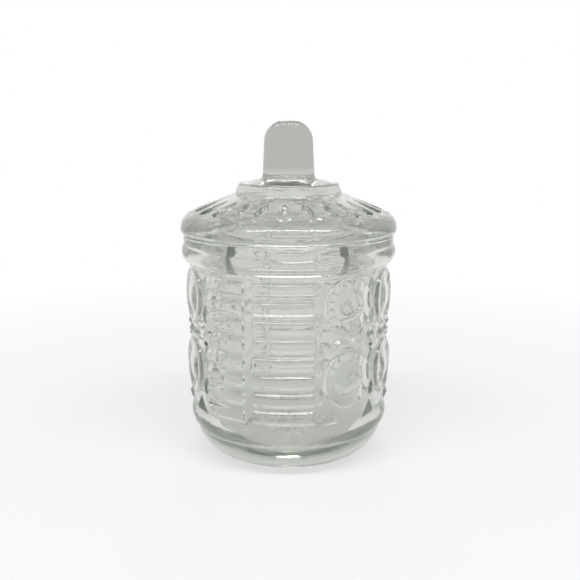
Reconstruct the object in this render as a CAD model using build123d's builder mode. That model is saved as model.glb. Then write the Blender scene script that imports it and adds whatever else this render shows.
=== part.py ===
from build123d import *
from math import atan, cos, degrees, hypot, pi, radians, sin
import os

# Pressed-glass jam jar with a lift-off lid. Sizes are in millimetres.
# The jar stands on the origin with +Z up. An azimuth is measured about Z from the
# front of the jar, which faces -Y, and grows towards +X.

# Outline of the jar
foot_radius = 21.6
base_radius = 36.8
base_height = 12.2
skirt_radius = 38.7
skirt_bulge_rise = 5.8
skirt_rise = 8.5
ground_radius = 38.0
neck_height = 75.0
neck_radius = 38.6
neck_rise = 1.4
rim_bead_radius = 41.5
rim_bead_rise = 5.3
rim_radius = 40.7
rim_band_rise = 8.4
rim_height = 87.0

# Inside of the jar
cavity_radius = 34.2
floor_thickness = 10.0
floor_round = 9.0

# Straight flats that each rounded part of the outline is made of
base_flats = 4
skirt_flats = 3
rim_bead_flats = 4
floor_flats = 3
lid_edge_flats = 3

# Sunburst pressed into the underside
sole_radius = 19.0
sole_depth = 0.6
ray_count = 24
ray_depth = 1.0
ray_inner_radius = 2.5
ray_outer_radius = 18.0
ray_spread = 0.8

# Shallow dip in the rim where a spoon handle comes out
dip_azimuth = 3.5
dip_width = 22.0
dip_depth = 1.8

# How deep a raised figure is rooted in the wall, and the share of its size left flat on top
root_depth = 2.2
stud_crown = 0.12

# Panels of level bars, from one azimuth to another
bar_panels = [(-53.5, -22.0), (-22.0, 16.5)]
panel_margin = 2.2
bar_count = 8
bar_pitch = 6.76
bar_width = 5.4
bar_crown_width = 2.2
bar_relief = 1.3

# Columns of round medallions, with the azimuths of their edges. Each medallion is a flat
# disc of many-sided rings: a raised rim, a shallow dish and a bevelled lens.
column_edges = [16.5, 53.17, 89.83, 126.5]
medallion_sides = 20
medallion_radius = 11.6
ring_radius = 10.3
ring_relief = 0.8
lens_radius = 6.8
lens_edge_relief = 0.1
lens_relief = 1.4
lens_flat_radius = 4.2
upper_row_height = 64.8
row_pitch = 27.5

# Stars of leaves and studs on the column edges
leaf_length = 7.0
leaf_width = 4.2
leaf_relief = 1.5
leaf_offset = 8.4
stud_radius = 3.3
stud_relief = 1.9
stud_rise = 1.15
bead_radius = 1.7
bead_relief = 1.2
bead_crown = 0.5
bead_drop = 3.4
corner_width = 9.6
corner_height = 6.5
corner_relief = 1.7

# Lid
seat_gap = 0.2
lid_radius = 42.0
lid_foot_radius = 40.2
lid_edge_rise = 2.4
cone_radius = 38.8
cone_rise = 7.7
step_radius = 20.5
step_rise = 15.4
plateau_radius = 19.7
plateau_rise = 19.3
plateau_bevel = 1.3
crown_radius = 11.0
crown_rise = 20.5
lid_wall = 4.2
hollow_radius = 15.0

# Plug ring under the lid, with a gap for the spoon handle
plug_clearance = 0.7
plug_wall = 3.8
plug_depth = 8.4
plug_lead = 1.0
spoon_gap_angle = 52.0

# Teardrop flutes around the cone of the lid, with their points inwards
flute_count = 24
flute_azimuth = -2.5
flute_radius = 34.2
flute_tail = 9.5
flute_width = 4.6
flute_depth = 1.1
flute_crown = 0.15

# Tongue-shaped knob
knob_height = 22.1
knob_foot_width = 20.0
knob_top_width = 18.6
knob_corner_radius = 6.2
knob_thickness = 12.5
knob_round = 2.6
knob_flare = 1.6
knob_sink = 0.3

# Worked out from the sizes above
half_turns = (0, 180)
quarter_turn = 90
column_centres = [(left + right) / 2 for left, right in zip(column_edges, column_edges[1:])]
row_heights = (upper_row_height, upper_row_height - row_pitch)
star_height = upper_row_height - row_pitch / 2
star_heights = (star_height + row_pitch, star_height, star_height - row_pitch)
skirt_height = base_height + skirt_rise
wall_root = ground_radius - root_depth
cone_slope = (step_rise - cone_rise) / (cone_radius - step_radius)
lid_base = rim_height + seat_gap
knob_base = lid_base + crown_rise
outside = 2 * lid_radius

# Rounded parts of the outline
base_curve = TangentArc((foot_radius, 0), (base_radius, base_height), tangent=(1, 0))
skirt_curve = ThreePointArc(
    (base_radius, base_height), (skirt_radius, base_height + skirt_bulge_rise), (ground_radius, skirt_height)
)
bead_curve = ThreePointArc(
    (neck_radius, neck_height + neck_rise),
    (rim_bead_radius, neck_height + rim_bead_rise),
    (rim_radius, neck_height + rim_band_rise),
)
floor_curve = TangentArc(
    (cavity_radius - floor_round, floor_thickness),
    (cavity_radius, floor_thickness + floor_round),
    tangent=(1, 0),
)
edge_curve = TangentArc(
    (lid_radius, lid_base + lid_edge_rise),
    (cone_radius, lid_base + cone_rise),
    tangent=(0, 1),
)


def flats(curve, count):
    """Points that divide a curve into straight flats."""
    return [(point.X, point.Y) for point in (curve @ (step / count) for step in range(count + 1))]


def upright(azimuth):
    """Plane through the jar's axis, with its x running out at an azimuth and its y up."""
    turn = radians(azimuth)
    return Plane(origin=(0, 0, 0), x_dir=(sin(turn), -cos(turn), 0), z_dir=(-cos(turn), -sin(turn), 0))


def places(azimuths, heights):
    """Locations that stand flat figures up, with their z outwards, on both sides of the jar."""
    turned = [azimuth + half_turn for half_turn in half_turns for azimuth in azimuths]
    return [Location((0, 0, height), (quarter_turn, azimuth, 0)) for azimuth in turned for height in heights]


def slope(run, rise):
    """Taper angle of a side that draws in by a run over a rise."""
    return degrees(atan(run / rise))


def rooted(relief, crown):
    """How many times larger a pointed figure is at its root than on the ground."""
    return 1 + root_depth * (1 - crown) / relief


# Bars: convex level ribs with squared ends
with BuildPart() as bars:
    for start, end in bar_panels:
        for index in range(bar_count):
            middle = neck_height - (index + 0.5) * bar_pitch
            with BuildSketch(upright(start + panel_margin)):
                with BuildLine():
                    half = [
                        (wall_root, bar_width / 2),
                        (ground_radius, bar_width / 2),
                        (ground_radius + bar_relief, bar_crown_width / 2),
                    ]
                    upper = [(radius, middle + rise) for radius, rise in half]
                    lower = [(radius, middle - rise) for radius, rise in reversed(half)]
                    Polyline(*upper, *lower, close=True)
                make_face()
            revolve(axis=Axis.Z, revolution_arc=end - start - 2 * panel_margin)

# Raised figures are drawn flat, with y up the jar and z outwards from its axis.
# Medallion: a raised rim with draft, a dish inside it and a bevelled lens in the middle
with BuildPart() as dish:
    dish_depth = ring_relief - lens_edge_relief
    with BuildSketch():
        RegularPolygon(ring_radius, medallion_sides)
    extrude(amount=dish_depth, taper=slope(ring_radius - lens_radius, dish_depth))
with BuildPart() as medallion:
    disc_height = root_depth + ring_relief
    with BuildSketch(Plane.XY.offset(wall_root)):
        RegularPolygon(medallion_radius, medallion_sides)
    extrude(amount=disc_height, taper=slope(medallion_radius - ring_radius, disc_height))
    with Locations(Location((0, 0, ground_radius + ring_relief), (2 * quarter_turn, 0, 0))):
        add(dish.part, mode=Mode.SUBTRACT)
    lens_height = lens_relief - lens_edge_relief
    with BuildSketch(Plane.XY.offset(ground_radius + lens_edge_relief)):
        RegularPolygon(lens_radius, medallion_sides)
    extrude(amount=lens_height, taper=slope(lens_radius - lens_flat_radius, lens_height))

# Pointed leaf of four facets, standing up
with BuildPart() as leaf:
    leaf_inradius = leaf_length * leaf_width / 2 / hypot(leaf_length, leaf_width)
    leaf_root = rooted(leaf_relief, stud_crown)
    with BuildSketch(Plane.XY.offset(wall_root)):
        with BuildLine():
            half_length = leaf_root * leaf_length / 2
            half_width = leaf_root * leaf_width / 2
            Polyline((0, -half_length), (half_width, 0), (0, half_length), (-half_width, 0), close=True)
        make_face()
    extrude(amount=root_depth + leaf_relief, taper=slope(leaf_inradius * (1 - stud_crown), leaf_relief))

# Four-sided stud near the middle of a star
with BuildPart() as stud:
    stud_inradius = stud_radius * cos(pi / 4)
    with BuildSketch(Plane.XY.offset(wall_root)):
        RegularPolygon(rooted(stud_relief, stud_crown) * stud_radius, 4)
    extrude(amount=root_depth + stud_relief, taper=slope(stud_inradius * (1 - stud_crown), stud_relief))

# Small six-sided bead under the stud
with BuildPart() as bead:
    bead_inradius = bead_radius * cos(pi / 6)
    with BuildSketch(Plane.XY.offset(wall_root)):
        RegularPolygon(rooted(bead_relief, bead_crown) * bead_radius, 6)
    extrude(amount=root_depth + bead_relief, taper=slope(bead_inradius * (1 - bead_crown), bead_relief))

# Three-sided stud that stands on the skirt, at the foot of a column edge
with BuildPart() as corner_stud:
    corner_side = hypot(corner_width / 2, corner_height)
    corner_inradius = corner_width * corner_height / (corner_width + 2 * corner_side)
    corner_root = rooted(corner_relief, stud_crown)
    with BuildSketch(Plane.XY.offset(wall_root)):
        with BuildLine():
            half_width = corner_root * corner_width / 2
            foot = corner_inradius - corner_root * corner_inradius
            tip = corner_inradius + corner_root * (corner_height - corner_inradius)
            Polyline((-half_width, foot), (half_width, foot), (0, tip), close=True)
        make_face()
    extrude(amount=root_depth + corner_relief, taper=slope(corner_inradius * (1 - stud_crown), corner_relief))

# One ray of the sunburst: a V-shaped cut that widens and deepens outwards
with BuildPart() as ray:
    ray_half_width = ray_spread * pi * ray_outer_radius / ray_count
    ray_length = ray_outer_radius - ray_inner_radius
    ray_inradius = ray_half_width * ray_length / (ray_half_width + hypot(ray_half_width, ray_length))
    with BuildSketch(Plane.XY.offset(sole_depth)):
        with BuildLine():
            ray_end = (ray_outer_radius, ray_half_width)
            Polyline((ray_inner_radius, 0), (ray_outer_radius, -ray_half_width), ray_end, close=True)
        make_face()
    extrude(amount=ray_depth, taper=slope(ray_inradius * (1 - stud_crown), ray_depth))

# Jar: the turned body first, then its pressed figures
with BuildPart() as jar:
    with BuildSketch(Plane.XZ):
        with BuildLine():
            Polyline(
                (0, sole_depth),
                (sole_radius, sole_depth),
                (sole_radius, 0),
                *flats(base_curve, base_flats),
                *flats(skirt_curve, skirt_flats)[1:],
                (ground_radius, neck_height),
                (neck_radius, neck_height),
                *flats(bead_curve, rim_bead_flats),
                (rim_radius, rim_height),
                (cavity_radius, rim_height),
                *reversed(flats(floor_curve, floor_flats)),
                (0, floor_thickness),
                close=True,
            )
        make_face()
    revolve(axis=Axis.Z)
    with PolarLocations(0, len(half_turns)):
        add(bars.part)
    with Locations(places(column_centres, row_heights)):
        add(medallion.part)
    arm_heights = [height + offset for height in star_heights for offset in (-leaf_offset, leaf_offset)]
    arm_heights = [height for height in arm_heights if skirt_height < height < neck_height]
    with Locations(places(column_edges, arm_heights)):
        add(leaf.part)
    swing = degrees(leaf_offset / ground_radius)
    arms = [edge + swing for edge in column_edges[:-1]] + [edge - swing for edge in column_edges[1:]]
    with Locations(places(arms, [star_height])):
        add(leaf.part.rotate(Axis.Z, quarter_turn))
    with Locations(places(column_edges[1:-1], [star_height + stud_rise])):
        add(stud.part)
    with Locations(places(column_edges, [star_height - bead_drop])):
        add(bead.part)
    corner_swing = degrees(corner_width / 2 / ground_radius)
    corners = [column_edges[0] + corner_swing, *column_edges[1:-1], column_edges[-1] - corner_swing]
    with Locations(places(corners, [skirt_height])):
        add(corner_stud.part)
    with PolarLocations(0, ray_count):
        add(ray.part, mode=Mode.SUBTRACT)
    dip_radius = (dip_width**2 / 4 + dip_depth**2) / (2 * dip_depth)
    with BuildSketch(upright(dip_azimuth + quarter_turn)):
        with Locations((0, rim_height - dip_depth + dip_radius)):
            Circle(dip_radius)
    extrude(amount=-outside, mode=Mode.SUBTRACT)
jar.part.label = "jar"

# One flute: a faceted teardrop, drawn flat with its depth upwards
with BuildPart() as flute:
    side = flute_width / 2
    bevel = side * cos(pi / 4)
    with BuildSketch():
        with BuildLine():
            round_end = [(0, -side), (bevel, -bevel), (side, 0), (bevel, bevel), (0, side)]
            Polyline((-flute_tail, 0), *round_end, close=True)
        make_face()
    flute_inradius = side * cos(pi / 8)
    extrude(amount=flute_depth, taper=slope(flute_inradius * (1 - flute_crown), flute_depth))

# Tongue of the knob, rounded along its front and back outline
with BuildPart() as tongue:
    with BuildSketch(Plane.XZ):
        with BuildLine():
            tongue_low = knob_base - knob_sink
            tongue_high = knob_base + knob_height
            foot_half = knob_foot_width / 2
            top_half = knob_top_width / 2
            Polyline(
                (-foot_half, tongue_low),
                (foot_half, tongue_low),
                (top_half, tongue_high),
                (-top_half, tongue_high),
                close=True,
            )
        make_face()
        fillet(vertices().group_by(Axis.Y)[-1], knob_corner_radius)
    extrude(amount=knob_thickness / 2, both=True)
    fillet(faces().filter_by(Axis.Y).edges().sort_by(Axis.Z)[2:], knob_round)

# Lid: the turned dome, its plug ring, the flutes and the knob
with BuildPart() as lid:
    plug_radius = cavity_radius - plug_clearance
    plug_inner_radius = plug_radius - plug_wall
    plug_low = lid_base - plug_depth
    ceiling = lid_base + cone_rise + cone_slope * (cone_radius - hollow_radius) - lid_wall
    eaves = lid_base + cone_rise + cone_slope * (cone_radius - plug_inner_radius) - lid_wall
    plateau_top = lid_base + plateau_rise
    with BuildSketch(Plane.XZ):
        with BuildLine():
            Polyline(
                (0, ceiling),
                (hollow_radius, ceiling),
                (plug_inner_radius, eaves),
                (plug_inner_radius, lid_base),
                (lid_foot_radius, lid_base),
                *flats(edge_curve, lid_edge_flats),
                (step_radius, lid_base + step_rise),
                (plateau_radius, plateau_top - plateau_bevel),
                (plateau_radius - plateau_bevel, plateau_top),
                (crown_radius, knob_base),
                (0, knob_base),
                close=True,
            )
        make_face()
    revolve(axis=Axis.Z)
    with BuildSketch(upright(dip_azimuth + spoon_gap_angle / 2)):
        with BuildLine():
            Polyline(
                (plug_inner_radius, lid_base),
                (plug_inner_radius, plug_low),
                (plug_radius - plug_lead, plug_low),
                (plug_radius, plug_low + plug_lead),
                (plug_radius, lid_base),
                close=True,
            )
        make_face()
    revolve(axis=Axis.Z, revolution_arc=360 - spoon_gap_angle)
    cone_point = (flute_radius, 0, lid_base + cone_rise + cone_slope * (cone_radius - flute_radius))
    into_cone = Plane(origin=cone_point, x_dir=(1, 0, -cone_slope), z_dir=(-cone_slope, 0, -1))
    with PolarLocations(0, flute_count, start_angle=flute_azimuth):
        add(flute.part.moved(into_cone.location), mode=Mode.SUBTRACT)
    for rise, flare in ((0, knob_flare), (knob_flare, -knob_sink)):
        with BuildSketch(Plane.XY.offset(knob_base + rise)):
            RectangleRounded(knob_foot_width + 2 * flare, knob_thickness + 2 * flare, knob_round + flare)
    loft(ruled=True)
    add(tongue.part)
lid.part.label = "lid"

os.makedirs("parts", exist_ok=True)
for piece in (jar.part, lid.part):
    export_step(piece, f"parts/{piece.label}.step")
    print(piece.label, len(piece.solids()), "solid", round(piece.volume / 1000, 1), "cm3")
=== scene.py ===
import math

import bpy
import numpy as np
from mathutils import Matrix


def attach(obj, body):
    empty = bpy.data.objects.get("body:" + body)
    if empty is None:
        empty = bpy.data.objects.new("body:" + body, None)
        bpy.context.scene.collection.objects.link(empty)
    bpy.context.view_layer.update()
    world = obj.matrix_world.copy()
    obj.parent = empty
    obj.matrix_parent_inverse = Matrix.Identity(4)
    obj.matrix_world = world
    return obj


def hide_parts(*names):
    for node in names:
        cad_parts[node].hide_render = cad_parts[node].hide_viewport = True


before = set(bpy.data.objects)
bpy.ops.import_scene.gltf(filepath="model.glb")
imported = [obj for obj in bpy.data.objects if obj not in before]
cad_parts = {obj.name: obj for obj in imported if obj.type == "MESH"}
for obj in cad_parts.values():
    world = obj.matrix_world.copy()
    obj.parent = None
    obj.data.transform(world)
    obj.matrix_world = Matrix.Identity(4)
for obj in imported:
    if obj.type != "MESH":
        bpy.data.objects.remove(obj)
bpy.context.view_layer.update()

# Pressed-glass jam jar with a lift-off lid. Shapes are worked out in millimetres, in the
# frame of the CAD model, and written to the meshes in metres. An azimuth is measured
# about Z from the front of the jar, -Y, and grows towards +X, in degrees.
MILLIMETRE = 0.001

# Fineness of the meshes: columns round the axis, steps along the outlines, and steps in an arc.
# An outline is first drawn in fine steps, and a crease's softening reaches over this many of them.
COLUMNS = 840
RELIEF_STEP = 0.36
PLAIN_STEP = 1.4
FINE_STEP = 0.1
CREASE_REACH = 5
ARC_STEPS = 24
PLATEAU_STEPS = 10
RIM_STEPS = 8

# Outline of the jar. A pair is a radius and a height.
SOLE_RADIUS = 19.0
SOLE_DEPTH = 0.6
SOLE_BEVEL = 0.3
FOOT_RADIUS = 21.6
BASE_RADIUS = 36.8
BASE_HEIGHT = 12.2
SKIRT_BULGE = (38.7, 18.0)
SKIRT_HEIGHT = 20.7
GROUND_RADIUS = 38.0
NECK_HEIGHT = 75.0
NECK_RADIUS = 38.6
NECK_RISE = 1.4
RIM_BEAD = (41.5, 80.3)
RIM_RADIUS = 40.7
RIM_BAND_HEIGHT = 83.4
RIM_HEIGHT = 87.0
RIM_ROUND = 0.8
CAVITY_RADIUS = 34.2
FLOOR_HEIGHT = 10.0
FLOOR_ROUND = 9.0

# Sunburst in the underside. A ray takes up this share of its pitch.
RAY_COUNT = 24
RAY_DEPTH = 1.0
RAY_SHARE = 0.8
RAY_ENDS = (2.5, 18.0)
RAY_FADES = (1.5, 1.0)

# Spoon dip in the rim
DIP_AZIMUTH = 3.5
DIP_WIDTH = 22.0
DIP_DEPTH = 1.8
DIP_FADE = 4.0

# Panels of level bars. The profile of a bar is its relief's share at steps from its middle.
BAR_PANELS = ((-53.5, -22.0), (-22.0, 16.5))
PANEL_MARGIN = 2.2
BAR_COUNT = 8
BAR_PITCH = 6.76
BAR_RELIEF = 1.3
BAR_STEPS = (0.7, 1.2, 1.7, 2.2, 2.6, 2.8)
BAR_SHARES = (1, 0.95, 0.76, 0.44, 0.12, 0)
BAR_END_SLOPE = 0.7

# Columns of round medallions, each a raised ring round a domed lens
COLUMN_EDGES = (16.5, 53.17, 89.83, 126.5)
UPPER_ROW = 64.8
ROW_PITCH = 27.5
MEDALLION_RADIUS = 11.6
MEDALLION_ROOT = 2.2
RING_RADIUS = 10.3
RING_RELIEF = 0.8
LENS_RADIUS = 6.8
LENS_EDGE_RELIEF = 0.1
LENS_RELIEF = 1.4
LENS_POWER = 2.6

# Stars between the medallions, of leaves, studs and beads
LEAF_LENGTH = 7.0
LEAF_WIDTH = 4.2
LEAF_RELIEF = 1.5
LEAF_OFFSET = 8.4
STUD_RADIUS = 3.3
STUD_RELIEF = 1.9
STUD_RISE = 1.15
STUD_TOP_SHARE = 0.9
BEAD_RADIUS = 1.7
BEAD_DROP = 3.4
BEAD_SHARE = 0.8

# Three-sided studs that stand on the skirt: slopes of the lower face and of the two sides
CORNER_WIDTH = 9.6
CORNER_HEIGHT = 6.5
CORNER_RELIEF = 1.7
CORNER_SLOPES = (3, 1.5)
CORNER_TOP_SHARE = 0.95

# Lid. A pair is a radius and a rise over the lid's base.
SEAT_GAP = 0.2
LID_BASE = RIM_HEIGHT + SEAT_GAP
LID_RADIUS = 41.75
LID_FOOT = 40.2
LID_EDGE_RISE = 2.4
LID_EDGE_TANGENT = (1, 0.25)
CONE_FOOT = (38.8, 7.7)
STEP_FOOT = (20.5, 15.4)
PLATEAU = (19.7, 19.3)
PLATEAU_ROUND = 1.3
PLATEAU_TANGENT = (-0.1, 1)
CROWN = (11.8, 20.5)
LID_WALL = 4.2
HOLLOW_RADIUS = 15.0

# Plug ring under the lid. Only a thin skin of it is left between the two azimuths of its gap.
PLUG_CLEARANCE = 0.7
PLUG_RADIUS = CAVITY_RADIUS - PLUG_CLEARANCE
PLUG_WALL = 3.8
PLUG_INNER_RADIUS = PLUG_RADIUS - PLUG_WALL
PLUG_DEPTH = 8.4
PLUG_LEAD = 1.0
PLUG_INNER_BEVEL = 0.5
SPOON_GAP = (-40.0, 38.5)
GAP_END_SLOPE = 2.2
GAP_SKIN_SHARE = 0.004

# Teardrop flutes in the lid's cone
FLUTE_COUNT = 24
FLUTE_AZIMUTH = -2.5
FLUTE_RADIUS = 34.2
FLUTE_TAIL = 9.5
FLUTE_TAPER = 0.7
FLUTE_WIDTH = 5.2
FLUTE_DEPTH = 1.3

# Knob. Its rings turn from round at the foot to nearly square, by the power of a superellipse.
KNOB_HEIGHT = 22.1
KNOB_RISE = CROWN[1] + KNOB_HEIGHT
KNOB_HALF_WIDTHS = (10.0, 9.0)
KNOB_CORNER = 7.4
KNOB_HALF_THICKNESS = 6.25
KNOB_ROUND = 2.6
KNOB_FLARE = 1.6
KNOB_POWERS = (2, 5)
KNOB_RINGS = (12, 24, 40)
KNOB_TOP_SHARES = (0.7, 0.4, 0.15, 0.0)

# Unevenness of the pressed surfaces: a random seed and a size for each. The outside's fades in
# away from the foot, and the cavity wall's and the lid's away from the axis. The floor's ends
# this margin above the floor, and the lid's starts this margin above the lid's base.
OUTSIDE_RIPPLE = (5, 0.035)
CAVITY_RIPPLE = (11, 0.06)
FLOOR_RIPPLE = (17, 0.05)
LID_RIPPLE = (23, 0.05)
OUTSIDE_RIPPLE_FADE = 4
CAVITY_RIPPLE_FADE = (4, 12)
LID_RIPPLE_FADE = (3, 10)
RIPPLE_WAVES = 14
RIPPLE_TURNS = (2, 16)
RIPPLE_CLIMB = 0.25
RIPPLE_MARGIN = 1

# Glass. Heights and distances are in metres, and noise is given as a scale per metre and a detail.
# The glass's own grey, and a darker grey blended in over these heights in the knob, which is painted shade
# for the darker look of the thick knob.
THIN_TINT = (0.805, 0.815, 0.79)
KNOB_TINT_AND_SHADE = (0.485, 0.495, 0.475)
KNOB_SHADE_HEIGHTS = (0.106, 0.112)
GLASS_IOR = 1.5
HAZE_NOISE = (420, 3)
HAZE_NOISE_SPAN = (0.3, 0.8)
HAZE_ROUGHNESS = (0.02, 0.1)
SKIN_NOISE = (160, 5)
SKIN_STRENGTH = 0.18
SKIN_DISTANCE = 0.0006
DEPTH_COLOUR = (0.48, 0.52, 0.45)
DEPTH_DENSITY = 14
LIGHT_BOUNCES = 32

# Studio, in metres. A lamp has a name, a place, a target, a size and a power.
WHITE = (1, 1, 1)
FILL_COLOUR = (0.9, 0.95, 1)
FILL_STRENGTH = 0.3
CEILING_SPAN = (0.45, 0.8)
CEILING_LEVELS = (1, 0.18)
FLOOR_HALF_WIDTH = 6.0
FLOOR_DROP = 0.00005
FLOOR_COLOUR = (0.4, 0.4, 0.4)
FLOOR_GLOW = 0.6
FLOOR_FADE = (0.1, 0.35)
LAMPS = (
    ("key", (0, -0.42, 0.78), (0, 0, 0.07), (1.2, 0.14), 5.5),
    ("back", (0, 0.47, 0.43), (0, 0, 0.1), (0.14, 0.09), 0.3),
)

# Camera. Its place is in metres, its sensor in millimetres, and its focal length in pixels of the
# photograph's frame. It looks down by this fall, in degrees.
PICTURE_WIDTH = 580
FOCAL_PIXELS = 859
SENSOR_WIDTH = 36
CAMERA_PLACE = (0.00054, -0.332, 0.1328)
CAMERA_FALL = 11.7


def arc_to(start, end, tangent, steps=ARC_STEPS):
    """Points of the arc from start to end that leaves start along tangent, without its start."""
    start, end, tangent = (np.array(v, float) for v in (start, end, tangent))
    tangent /= np.hypot(*tangent)
    chord = end - start
    along, across = chord @ tangent, tangent[0] * chord[1] - tangent[1] * chord[0]
    radius = (along**2 + across**2) / (2 * across)
    turn = 2 * math.atan2(across, along)
    angles = np.linspace(0, turn, steps + 1)[1:]
    normal = np.array([-tangent[1], tangent[0]])
    return [tuple(start + radius * (np.sin(a) * tangent + (1 - np.cos(a)) * normal)) for a in angles]


def swing_between(first, second):
    """Signed angle from one direction to another, in radians, by the shorter way."""
    return (second - first + math.pi) % math.tau - math.pi


def arc_through(start, middle, end, steps=ARC_STEPS):
    """Points of the arc through three points, without its start."""
    (ax, ay), (bx, by), (cx, cy) = start, middle, end
    d = 2 * (ax * (by - cy) + bx * (cy - ay) + cx * (ay - by))
    ux = ((ax**2 + ay**2) * (by - cy) + (bx**2 + by**2) * (cy - ay) + (cx**2 + cy**2) * (ay - by)) / d
    uy = ((ax**2 + ay**2) * (cx - bx) + (bx**2 + by**2) * (ax - cx) + (cx**2 + cy**2) * (bx - ax)) / d
    radius = math.hypot(ax - ux, ay - uy)
    first, second, third = (math.atan2(y - uy, x - ux) for x, y in (start, middle, end))
    whole = swing_between(first, second) + swing_between(second, third)
    angles = first + np.linspace(0, whole, steps + 1)[1:]
    return [(ux + radius * math.cos(a), uy + radius * math.sin(a)) for a in angles]


def resampled(points, step):
    """The path at even steps, with its creases softened as fire polishing leaves them."""
    points = np.array(points, float)
    length = np.concatenate([[0], np.cumsum(np.hypot(*np.diff(points, axis=0).T))])
    fine = np.linspace(0, length[-1], max(int(length[-1] / FINE_STEP), 8))
    path = np.stack([np.interp(fine, length, points[:, k]) for k in (0, 1)], axis=1)
    window = np.hanning(2 * CREASE_REACH + 1)[1:-1]
    padded = np.pad(path, ((CREASE_REACH - 1, CREASE_REACH - 1), (0, 0)), mode="edge")
    soft = np.stack([np.convolve(padded[:, k], window / window.sum(), "valid") for k in (0, 1)], axis=1)
    soft[0], soft[-1] = path[0], path[-1]
    count = max(int(length[-1] / step), 2)
    picks = np.linspace(0, len(soft) - 1, count + 1).round().astype(int)
    return soft[picks]


def joined(pieces):
    """One path from pieces that each start where the one before ends."""
    return np.concatenate([pieces[0], *(piece[1:] for piece in pieces[1:])])


def azimuths():
    """Azimuth of each column of vertices, in degrees."""
    return np.arange(COLUMNS) * 360 / COLUMNS


def around(azimuth, radius):
    """Distance along a circle of that radius from an azimuth to each column, in mm."""
    swing = (azimuths() - azimuth + 180) % 360 - 180
    return radius * np.radians(swing)


def smooth(low, high, value):
    """0 below low, 1 above high, and an even blend between."""
    t = np.clip((value - low) / (high - low), 0, 1)
    return t * t * (3 - 2 * t)


def ripple(rows, seed, size):
    """Slow unevenness of pressed glass over a grid of rows and columns, in mm."""
    random = np.random.default_rng(seed)
    turn = np.radians(azimuths())[None, :]
    along = np.asarray(rows)[:, None]
    total = np.zeros((len(rows), COLUMNS))
    for _ in range(RIPPLE_WAVES):
        waves = random.integers(*RIPPLE_TURNS)
        climb = random.uniform(-RIPPLE_CLIMB, RIPPLE_CLIMB)
        start = random.uniform(0, math.tau)
        total += np.sin(waves * turn + along * climb + start)
    return total * size / math.sqrt(RIPPLE_WAVES)


def both_sides(values):
    """The azimuths, and the same ones half a turn on."""
    return [value + turn for turn in (0, 180) for value in values]


def bars(height):
    """Relief of the panels of level bars at one row's height."""
    index = (NECK_HEIGHT - height) / BAR_PITCH
    if not 0 < index < BAR_COUNT:
        return np.zeros(COLUMNS)
    offset = (index % 1 - 0.5) * BAR_PITCH
    crown = BAR_RELIEF * np.interp(abs(offset), BAR_STEPS, BAR_SHARES)
    spans = np.zeros(COLUMNS)
    for left, right in BAR_PANELS:
        half = (right - left) / 2 - PANEL_MARGIN
        for middle in both_sides([(left + right) / 2]):
            inside = half * math.radians(GROUND_RADIUS) - abs(around(middle, GROUND_RADIUS))
            spans = np.maximum(spans, smooth(0, BAR_END_SLOPE, inside))
    return crown * spans


def medallions(height):
    """Relief of the medallions at one row's height. Each is a flat disc that stands on the wall."""
    relief = np.zeros(COLUMNS)
    centres = [(left + right) / 2 for left, right in zip(COLUMN_EDGES, COLUMN_EDGES[1:])]
    radii = (LENS_RADIUS, RING_RADIUS, MEDALLION_RADIUS)
    reliefs = (LENS_EDGE_RELIEF, RING_RELIEF, -MEDALLION_ROOT)
    for row in (UPPER_ROW, UPPER_ROW - ROW_PITCH):
        if abs(height - row) > MEDALLION_RADIUS:
            continue
        for azimuth in both_sides(centres):
            # Past half a radian, where no medallion reaches, the swing is cut to keep its tangent finite
            swing = np.clip(around(azimuth, 1), -0.5, 0.5)
            distance = np.hypot((GROUND_RADIUS + RING_RELIEF) * np.tan(swing), height - row)
            dome = 1 - np.clip(distance / LENS_RADIUS, 0, 1) ** LENS_POWER
            plane = np.interp(distance, radii, reliefs) + (LENS_RELIEF - LENS_EDGE_RELIEF) * dome
            disc = (GROUND_RADIUS + plane) / np.cos(swing) - GROUND_RADIUS
            relief = np.maximum(relief, np.where(distance < MEDALLION_RADIUS, disc, 0))
    return relief


def leaf(across, along):
    """Relief of a pointed leaf with a ridge along it."""
    taper = 1 - (2 * along / LEAF_LENGTH) ** 2
    half_width = LEAF_WIDTH / 2 * np.clip(taper, 1e-3, 1)
    ridge = LEAF_RELIEF * np.clip(taper, 0, 1) ** 0.5
    return ridge * np.clip(1 - abs(across) / half_width, 0, 1)


def stars(height):
    """Relief of the leaves, studs and beads on the column edges at one row's height."""
    relief = np.zeros(COLUMNS)
    middle = UPPER_ROW - ROW_PITCH / 2
    rows = (middle + ROW_PITCH, middle, middle - ROW_PITCH)
    arms = [row + side * LEAF_OFFSET for row in rows for side in (-1, 1)]
    for azimuth in both_sides(COLUMN_EDGES):
        across = around(azimuth, GROUND_RADIUS)
        for arm in arms:
            if SKIRT_HEIGHT < arm < NECK_HEIGHT and abs(height - arm) < LEAF_LENGTH / 2:
                relief = np.maximum(relief, leaf(across, height - arm))
        bead = BEAD_RADIUS**2 - across**2 - (height - middle + BEAD_DROP) ** 2
        relief = np.maximum(relief, np.sqrt(np.clip(bead, 0, None)) * BEAD_SHARE)
    swing = math.degrees(LEAF_OFFSET / GROUND_RADIUS)
    level = [edge + swing for edge in COLUMN_EDGES[:-1]] + [edge - swing for edge in COLUMN_EDGES[1:]]
    for azimuth in both_sides(level):
        if abs(height - middle) < LEAF_WIDTH / 2:
            relief = np.maximum(relief, leaf(height - middle, around(azimuth, GROUND_RADIUS)))
    for azimuth in both_sides(COLUMN_EDGES[1:-1]):
        away = abs(around(azimuth, GROUND_RADIUS)) + abs(height - middle - STUD_RISE)
        relief = np.maximum(relief, STUD_RELIEF * np.clip(1 - away / STUD_RADIUS, 0, STUD_TOP_SHARE))
    return relief


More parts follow.
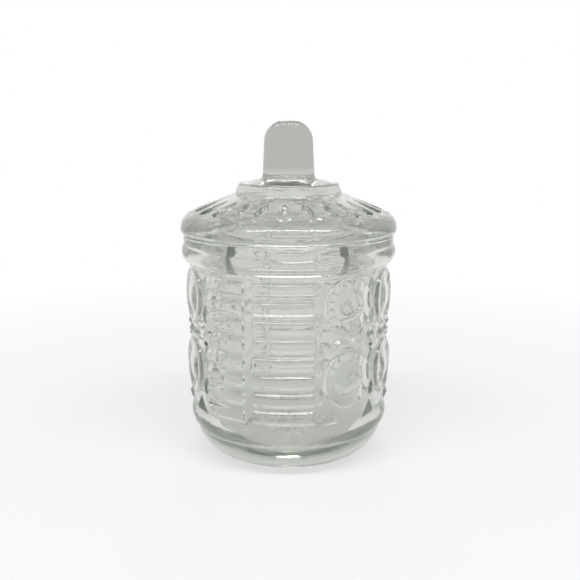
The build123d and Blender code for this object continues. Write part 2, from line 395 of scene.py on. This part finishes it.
def corner_studs(height):
    """Relief of the three-sided studs that stand on the skirt at one row's height."""
    relief = np.zeros(COLUMNS)
    rise = height - SKIRT_HEIGHT
    if not 0 < rise < CORNER_HEIGHT:
        return relief
    low_slope, side_slope = CORNER_SLOPES
    swing = math.degrees(CORNER_WIDTH / 2 / GROUND_RADIUS)
    places = [COLUMN_EDGES[0] + swing, *COLUMN_EDGES[1:-1], COLUMN_EDGES[-1] - swing]
    for azimuth in both_sides(places):
        across = abs(around(azimuth, GROUND_RADIUS)) / (CORNER_WIDTH / 2)
        sides = side_slope * (1 - rise / CORNER_HEIGHT - across)
        share = np.minimum(low_slope * rise / CORNER_HEIGHT, sides)
        relief = np.maximum(relief, CORNER_RELIEF * np.clip(share, 0, CORNER_TOP_SHARE))
    return relief


def closed_mesh(name, grid):
    """Mesh of a closed skin from a grid of rows, each a ring of points, whose ends meet the axis."""
    rows, columns = grid.shape[:2]
    first, last = (tuple(grid[row].mean(axis=0)) for row in (0, -1))
    verts = [first, *map(tuple, grid[1:-1].reshape(-1, 3)), last]
    ring = np.arange(columns)
    step = np.roll(ring, -1)
    faces = [(0, 1 + b, 1 + a) for a, b in zip(ring, step)]
    for row in range(rows - 3):
        low, high = 1 + row * columns, 1 + (row + 1) * columns
        faces += [(low + a, low + b, high + b, high + a) for a, b in zip(ring, step)]
    top = 1 + (rows - 3) * columns
    faces += [(top + a, top + b, len(verts) - 1) for a, b in zip(ring, step)]
    mesh = bpy.data.meshes.new(name)
    mesh.from_pydata([(x * MILLIMETRE, y * MILLIMETRE, z * MILLIMETRE) for x, y, z in verts], [], faces)
    mesh.validate()
    mesh.shade_smooth()
    piece = bpy.data.objects.new(name, mesh)
    bpy.context.collection.objects.link(piece)
    return piece


def rings(radius, height):
    """Grid of points from arrays of radius and height, one row of columns each."""
    turn = np.radians(azimuths())[None, :]
    radius = np.broadcast_to(radius, height.shape)
    return np.stack([radius * np.sin(turn), -radius * np.cos(turn), height], axis=2)


def jar_outline():
    """Paths of the jar's foot, base, side and inside, from the axis below to the axis above."""
    foot = [(0, SOLE_DEPTH), (SOLE_RADIUS - SOLE_BEVEL, SOLE_DEPTH), (SOLE_RADIUS + SOLE_BEVEL, 0)]
    foot += [(FOOT_RADIUS, 0)]
    base = [foot[-1], *arc_to(foot[-1], (BASE_RADIUS, BASE_HEIGHT), (1, 0))]
    base += arc_through(base[-1], SKIRT_BULGE, (GROUND_RADIUS, SKIRT_HEIGHT))
    side = [base[-1], (GROUND_RADIUS, NECK_HEIGHT), (NECK_RADIUS, NECK_HEIGHT)]
    side += [(NECK_RADIUS, NECK_HEIGHT + NECK_RISE)]
    side += arc_through(side[-1], RIM_BEAD, (RIM_RADIUS, RIM_BAND_HEIGHT))
    side += [(RIM_RADIUS, RIM_HEIGHT - RIM_ROUND)]
    side += arc_to(side[-1], (RIM_RADIUS - RIM_ROUND, RIM_HEIGHT), (0, 1), RIM_STEPS)
    inside = [side[-1], (CAVITY_RADIUS + RIM_ROUND, RIM_HEIGHT)]
    inside += arc_to(inside[-1], (CAVITY_RADIUS, RIM_HEIGHT - RIM_ROUND), (-1, 0), RIM_STEPS)
    inside += [(CAVITY_RADIUS, FLOOR_HEIGHT + FLOOR_ROUND)]
    inside += arc_to(inside[-1], (CAVITY_RADIUS - FLOOR_ROUND, FLOOR_HEIGHT), (0, -1))
    inside += [(0, FLOOR_HEIGHT)]
    outside = [resampled(points, RELIEF_STEP) for points in (foot, base, side)]
    return [*outside, resampled(inside, PLAIN_STEP)]


def ray_depth(reach):
    """Depth of the sunburst's rays at one row of the sole, at that distance from the axis."""
    start, end = RAY_ENDS
    if not start < reach < end:
        return np.zeros(COLUMNS)
    pitch = 360 / RAY_COUNT
    swing = abs((azimuths() + pitch / 2) % pitch - pitch / 2) / (pitch / 2)
    fade = smooth(start, start + RAY_FADES[0], reach) * (1 - smooth(end - RAY_FADES[1], end, reach))
    return RAY_DEPTH * np.clip(1 - swing / RAY_SHARE, 0, 1) * fade


def make_jar():
    """The jar: its turned outline, the relief, the sunburst and the spoon dip."""
    pieces = jar_outline()
    foot, base = pieces[:2]
    path = joined(pieces)
    outer_rows = sum(len(piece) for piece in pieces[:3]) - 2
    radius = np.repeat(path[:, :1], COLUMNS, axis=1)
    height = np.repeat(path[:, 1:], COLUMNS, axis=1)
    for row in range(len(foot) + len(base) - 2, outer_rows):
        level = path[row, 1]
        if level > NECK_HEIGHT + NECK_RISE:
            break
        figures = np.maximum.reduce([bars(level), medallions(level), stars(level), corner_studs(level)])
        radius[row] = np.maximum(radius[row], GROUND_RADIUS + figures)
    for row in range(len(foot)):
        height[row] += ray_depth(path[row, 0])
    near = around(DIP_AZIMUTH, RIM_RADIUS)
    dip = DIP_DEPTH * np.clip(1 - (2 * near / DIP_WIDTH) ** 2, 0, 1)
    height -= dip * smooth(RIM_BAND_HEIGHT - DIP_FADE, RIM_HEIGHT, path[:, 1:])
    side_rows = smooth(FOOT_RADIUS, FOOT_RADIUS + OUTSIDE_RIPPLE_FADE, path[:, :1])
    radius += ripple(path[:, 1], *OUTSIDE_RIPPLE) * side_rows
    inner = (np.arange(len(path)) >= outer_rows)[:, None]
    radius += ripple(path[:, 1], *CAVITY_RIPPLE) * inner * smooth(*CAVITY_RIPPLE_FADE, path[:, :1])
    floor_rows = inner[1:-1] * (path[1:-1, 1:] < FLOOR_HEIGHT + RIPPLE_MARGIN)
    height[1:-1] += ripple(path[1:-1, 0], *FLOOR_RIPPLE) * floor_rows
    return closed_mesh("jar_glass_body", rings(radius, height))


def cone_slope():
    """Fall of the lid's cone for each millimetre outwards, in millimetres."""
    return (STEP_FOOT[1] - CONE_FOOT[1]) / (CONE_FOOT[0] - STEP_FOOT[0])


def flute_depth(row_radius):
    """Depth of the ring of teardrop flutes at one row of the lid's cone."""
    along = (row_radius - FLUTE_RADIUS) / math.cos(math.atan(cone_slope()))
    if not -FLUTE_TAIL < along < FLUTE_WIDTH / 2:
        return np.zeros(COLUMNS)
    if along < 0:
        half_width = FLUTE_WIDTH / 2 * (1 - (along / FLUTE_TAIL) ** 2) ** FLUTE_TAPER
    else:
        half_width = math.sqrt((FLUTE_WIDTH / 2) ** 2 - along**2)
    pitch = 360 / FLUTE_COUNT
    swing = (azimuths() - FLUTE_AZIMUTH + pitch / 2) % pitch - pitch / 2
    across = row_radius * np.radians(swing) / max(half_width, 0.05)
    return FLUTE_DEPTH * (2 * half_width / FLUTE_WIDTH) * np.clip(1 - across**2, 0, 1)


def knob_sections():
    """Height, half width, half thickness and power of each ring of the knob, from its foot up."""
    top = LID_BASE + KNOB_RISE
    foot = LID_BASE + CROWN[1]
    foot_width, top_width = KNOB_HALF_WIDTHS
    round_power, square_power = KNOB_POWERS
    flare_rings, side_rings, corner_rings = KNOB_RINGS
    sections = []
    for share in np.linspace(0, 1, flare_rings)[1:]:
        swell = 1 - math.sin(share * math.pi / 2)
        rise = KNOB_FLARE * (1 - math.cos(share * math.pi / 2))
        width = foot_width + (CROWN[0] - foot_width) * swell
        depth = KNOB_HALF_THICKNESS + (CROWN[0] - KNOB_HALF_THICKNESS) * swell
        sections.append((foot + rise, width, depth, round_power + (square_power - round_power) * share))
    straight = np.linspace(foot + KNOB_FLARE, top - KNOB_CORNER, side_rings)[1:]
    turn = np.linspace(0, math.pi / 2, corner_rings)[1:]
    curved = top - KNOB_CORNER + KNOB_CORNER * np.sin(turn)
    for level in [*straight, *curved]:
        side = foot_width + (top_width - foot_width) * (level - foot) / (top - foot)
        over = max(level - (top - KNOB_CORNER), 0)
        width = side - KNOB_CORNER + math.sqrt(max(KNOB_CORNER**2 - over**2, 0))
        over = max(level - (top - KNOB_ROUND), 0)
        depth = KNOB_HALF_THICKNESS - KNOB_ROUND + math.sqrt(max(KNOB_ROUND**2 - over**2, 0))
        sections.append((level, width, depth, square_power))
    width, depth = sections[-1][1:3]
    for share in KNOB_TOP_SHARES:
        power = square_power - (square_power - round_power) * (1 - share)
        sections.append((top, width * share, depth * share, power))
    return sections


def knob_rows():
    """Rings of the knob, from the crown of the lid up to its closed top."""
    turn = np.radians(azimuths())
    rows = []
    for level, width, depth, power in knob_sections():
        width, depth = max(width, 1e-4), max(depth, 1e-4)
        reach = (abs(np.sin(turn) / width) ** power + abs(np.cos(turn) / depth) ** power) ** (-1 / power)
        ring = [reach * np.sin(turn), -reach * np.cos(turn), np.full(COLUMNS, level)]
        rows.append(np.stack(ring, axis=1))
    return np.array(rows)


def lid_outline():
    """Paths of the lid's underside, plug ring, edge, cone and crown, out from the axis and back."""
    cone_height = LID_BASE + CONE_FOOT[1]
    ceiling = cone_height + cone_slope() * (CONE_FOOT[0] - HOLLOW_RADIUS) - LID_WALL
    eaves = cone_height + cone_slope() * (CONE_FOOT[0] - PLUG_INNER_RADIUS) - LID_WALL
    low = LID_BASE - PLUG_DEPTH
    under = [(0, ceiling), (HOLLOW_RADIUS, ceiling), (PLUG_INNER_RADIUS, eaves)]
    under += [(PLUG_INNER_RADIUS, LID_BASE)]
    plug = [under[-1], (PLUG_INNER_RADIUS, low + PLUG_INNER_BEVEL)]
    plug += [(PLUG_INNER_RADIUS + PLUG_INNER_BEVEL, low)]
    plug += [(PLUG_RADIUS - PLUG_LEAD, low), (PLUG_RADIUS, low + PLUG_LEAD), (PLUG_RADIUS, LID_BASE)]
    edge = [plug[-1], (LID_FOOT, LID_BASE)]
    edge += arc_to(edge[-1], (LID_RADIUS, LID_BASE + LID_EDGE_RISE), LID_EDGE_TANGENT)
    edge += arc_to(edge[-1], (CONE_FOOT[0], cone_height), (0, 1))
    cone = [edge[-1], (STEP_FOOT[0], LID_BASE + STEP_FOOT[1])]
    plateau_top = LID_BASE + PLATEAU[1]
    crown = [cone[-1], (PLATEAU[0], plateau_top - PLATEAU_ROUND)]
    plateau_edge = (PLATEAU[0] - PLATEAU_ROUND, plateau_top)
    crown += arc_to(crown[-1], plateau_edge, PLATEAU_TANGENT, PLATEAU_STEPS)
    crown += [(CROWN[0], LID_BASE + CROWN[1])]
    fine = [resampled(points, RELIEF_STEP) for points in (plug, edge, cone, crown)]
    return [resampled(under, PLAIN_STEP), *fine]


def make_lid():
    """The lid: its turned outline with the plug ring, the flutes and the knob, in one skin."""
    pieces = lid_outline()
    path = joined(pieces)
    radius = np.repeat(path[:, :1], COLUMNS, axis=1)
    height = np.repeat(path[:, 1:], COLUMNS, axis=1)
    plug_rows = slice(len(pieces[0]), len(pieces[0]) + len(pieces[1]) - 2)
    gap_half = (SPOON_GAP[1] - SPOON_GAP[0]) / 2 * math.radians(PLUG_RADIUS)
    from_gap = abs(around(sum(SPOON_GAP) / 2, PLUG_RADIUS))
    keep = GAP_SKIN_SHARE + (1 - GAP_SKIN_SHARE) * smooth(gap_half - GAP_END_SLOPE, gap_half, from_gap)
    height[plug_rows] = LID_BASE - (LID_BASE - height[plug_rows]) * keep
    fall = math.atan(cone_slope())
    first = sum(len(piece) for piece in pieces[:3]) - 3
    for row in range(first, first + len(pieces[3])):
        cut = flute_depth(path[row, 0])
        radius[row] -= cut * math.sin(fall)
        height[row] -= cut * math.cos(fall)
    top_rows = smooth(*LID_RIPPLE_FADE, path[1:-1, :1]) * (path[1:-1, 1:] > LID_BASE + RIPPLE_MARGIN)
    height[1:-1] += ripple(path[1:-1, 0], *LID_RIPPLE) * top_rows
    return closed_mesh("lid_glass_body", np.concatenate([rings(radius, height), knob_rows()]))


def noise(tree, scale, detail):
    """Noise over the piece, at a scale in features per metre."""
    place = tree.nodes.new("ShaderNodeTexCoord")
    texture = tree.nodes.new("ShaderNodeTexNoise")
    texture.inputs["Scale"].default_value = scale
    texture.inputs["Detail"].default_value = detail
    tree.links.new(place.outputs["Object"], texture.inputs["Vector"])
    return texture.outputs["Fac"]


def spread(tree, value, source, target):
    """The value taken from one range to another."""
    node = tree.nodes.new("ShaderNodeMapRange")
    for end, number in zip(("From Min", "From Max", "To Min", "To Max"), (*source, *target)):
        node.inputs[end].default_value = number
    tree.links.new(value, node.inputs["Value"])
    return node.outputs["Result"]


def glass(name):
    """Clear pressed glass with an uneven fire-polished skin. Its grey is stronger in the knob, where the
    darker grey is painted shade standing in for the darker look of the thick knob.
    """
    material = bpy.data.materials.new(name)
    material.use_nodes = True
    tree = material.node_tree
    shader = tree.nodes["Principled BSDF"]
    shader.inputs["Transmission Weight"].default_value = 1
    shader.inputs["IOR"].default_value = GLASS_IOR
    place = tree.nodes.new("ShaderNodeTexCoord")
    split = tree.nodes.new("ShaderNodeSeparateXYZ")
    tree.links.new(place.outputs["Object"], split.inputs[0])
    # Painted shade: above the knob's foot the base colour turns from the glass's grey to a darker grey.
    tint_and_knob_shade = tree.nodes.new("ShaderNodeMix")
    tint_and_knob_shade.data_type = "RGBA"
    tint_and_knob_shade.inputs["A"].default_value = (*THIN_TINT, 1)
    tint_and_knob_shade.inputs["B"].default_value = (*KNOB_TINT_AND_SHADE, 1)
    tree.links.new(spread(tree, split.outputs["Z"], KNOB_SHADE_HEIGHTS, (0, 1)), tint_and_knob_shade.inputs["Factor"])
    tree.links.new(tint_and_knob_shade.outputs["Result"], shader.inputs["Base Color"])
    haze = spread(tree, noise(tree, *HAZE_NOISE), HAZE_NOISE_SPAN, HAZE_ROUGHNESS)
    tree.links.new(haze, shader.inputs["Roughness"])
    bump = tree.nodes.new("ShaderNodeBump")
    bump.inputs["Strength"].default_value = SKIN_STRENGTH
    bump.inputs["Distance"].default_value = SKIN_DISTANCE
    tree.links.new(noise(tree, *SKIN_NOISE), bump.inputs["Height"])
    tree.links.new(bump.outputs["Normal"], shader.inputs["Normal"])
    depth = tree.nodes.new("ShaderNodeVolumeAbsorption")
    depth.inputs["Color"].default_value = (*DEPTH_COLOUR, 1)
    depth.inputs["Density"].default_value = DEPTH_DENSITY
    tree.links.new(depth.outputs["Volume"], tree.nodes["Material Output"].inputs["Volume"])
    return material


def seen_rays(tree):
    """Output that is 1 for rays that show the background: camera, glossy and transmission."""
    path = tree.nodes.new("ShaderNodeLightPath")
    total = path.outputs["Is Camera Ray"]
    for ray in ("Is Glossy Ray", "Is Transmission Ray"):
        either = tree.nodes.new("ShaderNodeMath")
        either.operation = "MAXIMUM"
        tree.links.new(total, either.inputs[0])
        tree.links.new(path.outputs[ray], either.inputs[1])
        total = either.outputs[0]
    return total


def make_world():
    """Even soft light, and a white background for rays that show it, with a dimmer ceiling in the glass."""
    world = bpy.data.worlds.new("studio")
    bpy.context.scene.world = world
    world.use_nodes = True
    tree = world.node_tree
    fill = tree.nodes["Background"]
    fill.inputs["Color"].default_value = (*FILL_COLOUR, 1)
    fill.inputs["Strength"].default_value = FILL_STRENGTH
    white = tree.nodes.new("ShaderNodeBackground")
    white.inputs["Color"].default_value = (*WHITE, 1)
    place = tree.nodes.new("ShaderNodeTexCoord")
    split = tree.nodes.new("ShaderNodeSeparateXYZ")
    tree.links.new(place.outputs["Generated"], split.inputs[0])
    path = tree.nodes.new("ShaderNodeLightPath")
    level = tree.nodes.new("ShaderNodeMath")
    level.operation = "MAXIMUM"
    tree.links.new(spread(tree, split.outputs["Z"], CEILING_SPAN, CEILING_LEVELS), level.inputs[0])
    tree.links.new(path.outputs["Is Camera Ray"], level.inputs[1])
    tree.links.new(level.outputs[0], white.inputs["Strength"])
    choice = tree.nodes.new("ShaderNodeMixShader")
    tree.links.new(seen_rays(tree), choice.inputs["Fac"])
    tree.links.new(fill.outputs[0], choice.inputs[1])
    tree.links.new(white.outputs[0], choice.inputs[2])
    tree.links.new(choice.outputs[0], tree.nodes["World Output"].inputs["Surface"])


def floor_paper():
    """Pale matt paper. For rays that show the background it fades to white away from the shadow."""
    material = bpy.data.materials.new("floor_paper")
    material.use_nodes = True
    tree = material.node_tree
    paper = tree.nodes["Principled BSDF"]
    paper.inputs["Base Color"].default_value = (*FLOOR_COLOUR, 1)
    paper.inputs["Roughness"].default_value = 1
    paper.inputs["Specular IOR Level"].default_value = 0
    glow = tree.nodes.new("ShaderNodeEmission")
    glow.inputs["Strength"].default_value = FLOOR_GLOW
    lit = tree.nodes.new("ShaderNodeAddShader")
    white = tree.nodes.new("ShaderNodeEmission")
    place = tree.nodes.new("ShaderNodeTexCoord")
    reach = tree.nodes.new("ShaderNodeVectorMath")
    reach.operation = "LENGTH"
    fade = tree.nodes.new("ShaderNodeMixShader")
    choice = tree.nodes.new("ShaderNodeMixShader")
    tree.links.new(paper.outputs[0], lit.inputs[0])
    tree.links.new(glow.outputs[0], lit.inputs[1])
    tree.links.new(place.outputs["Object"], reach.inputs[0])
    tree.links.new(spread(tree, reach.outputs["Value"], FLOOR_FADE, (0, 1)), fade.inputs["Fac"])
    tree.links.new(lit.outputs[0], fade.inputs[1])
    tree.links.new(white.outputs[0], fade.inputs[2])
    tree.links.new(seen_rays(tree), choice.inputs["Fac"])
    tree.links.new(paper.outputs[0], choice.inputs[1])
    tree.links.new(fade.outputs[0], choice.inputs[2])
    tree.links.new(choice.outputs[0], tree.nodes["Material Output"].inputs["Surface"])
    return material


def make_floor():
    """Wide pale floor just under the foot."""
    mesh = bpy.data.meshes.new("floor")
    corners = [(x * FLOOR_HALF_WIDTH, y * FLOOR_HALF_WIDTH, -FLOOR_DROP) for x, y in
               ((-1, -1), (1, -1), (1, 1), (-1, 1))]
    mesh.from_pydata(corners, [], [(0, 1, 2, 3)])
    mesh.materials.append(floor_paper())
    floor = bpy.data.objects.new("floor", mesh)
    bpy.context.collection.objects.link(floor)


def lamp(name, place, target, size, power):
    """Soft rectangular lamp at a place, aimed at a target. All lengths are in metres."""
    light = bpy.data.lights.new(name, "AREA")
    light.shape = "RECTANGLE"
    light.size, light.size_y = size
    light.energy = power
    body = bpy.data.objects.new(name, light)
    body.location = place
    aim = np.array(target) - np.array(place)
    fall = math.atan2(math.hypot(aim[0], aim[1]), -aim[2])
    body.rotation_euler = (fall, 0, math.atan2(aim[1], aim[0]) - math.pi / 2)
    bpy.context.collection.objects.link(body)


def make_camera():
    """Camera of the photograph, fitted to the outlines of the lid, the rim and the base."""
    data = bpy.data.cameras.new("camera")
    data.sensor_width = SENSOR_WIDTH
    data.lens = SENSOR_WIDTH * FOCAL_PIXELS / PICTURE_WIDTH
    camera = bpy.data.objects.new("camera", data)
    camera.location = CAMERA_PLACE
    camera.rotation_euler = (math.radians(90 - CAMERA_FALL), 0, 0)
    bpy.context.collection.objects.link(camera)
    bpy.context.scene.camera = camera


scene = bpy.context.scene
scene.view_settings.view_transform = "Standard"
scene.cycles.max_bounces = LIGHT_BOUNCES
scene.cycles.glossy_bounces = LIGHT_BOUNCES
scene.cycles.transmission_bounces = LIGHT_BOUNCES
make_camera()
make_world()
make_floor()
for setting in LAMPS:
    lamp(*setting)

for piece, node, slot in ((make_jar(), "jar", "jar_glass"), (make_lid(), "lid", "lid_glass")):
    piece.data.materials.append(glass(slot))
    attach(piece, node)
    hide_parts(node)
